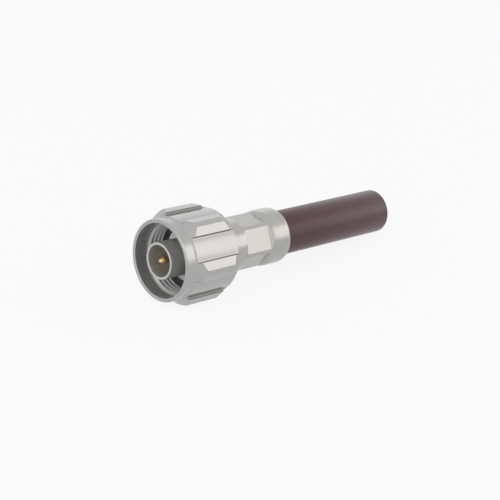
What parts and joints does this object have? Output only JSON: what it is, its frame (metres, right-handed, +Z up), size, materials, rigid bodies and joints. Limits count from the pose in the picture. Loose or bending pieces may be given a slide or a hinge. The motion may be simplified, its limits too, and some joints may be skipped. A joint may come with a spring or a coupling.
{
  "type": "n type connector",
  "caption": "Male coaxial plug with a free-turning threaded coupling nut and gold centre pin, crimped on a stub of thick brown cable.",
  "frame": {"origin": "on the plug's axis, in the mating plane: the front face of the outer contact", "axes": "+Y along the axis from the mating face to the cable, +Z up, +X to the side; one flat of the coupling nut faces down"},
  "size_m": [0.0212, 0.0678, 0.019],
  "materials": {
    "plated_nut": "white-bronze plated brass, milled and turned, satin",
    "plated_contact": "white-bronze plated brass, turned",
    "plated_body": "white-bronze plated brass, turned, satin",
    "plated_ferrule": "white-bronze plated brass, crimped",
    "spring_bronze": "spring bronze",
    "gold_plate": "gold-plated brass",
    "gasket_rubber": "light grey silicone rubber",
    "insulator": "white fluoropolymer, turned",
    "dielectric": "white fluoropolymer, extruded",
    "jacket": "dark brown fluoropolymer, semi-gloss",
    "silvered_braid": "silver-plated copper braid",
    "silvered_strand": "silver-plated copper strands"
  },
  "bodies": {
    "plug": {"body": "plated_body", "outer_contact": "plated_contact", "gasket": "gasket_rubber", "front_insulator": "insulator", "rear_insulator": "insulator", "centre_contact": "gold_plate", "retaining_ring": "spring_bronze", "crimp_ferrule": "plated_ferrule", "cable_jacket": "jacket", "outer_braid": "silvered_braid", "inner_braid": "silvered_braid", "cable_dielectric": "dielectric", "conductor_strands": "silvered_strand"},
    "nut": {"coupling_nut": "plated_nut"}
  },
  "joints": [
    {"name": "nut_spin", "type": "hinge", "parent": "plug", "child": "nut", "pos_m": [0, 0.0125, 0], "axis": [0, 1, 0], "continuous": true}
  ]
}
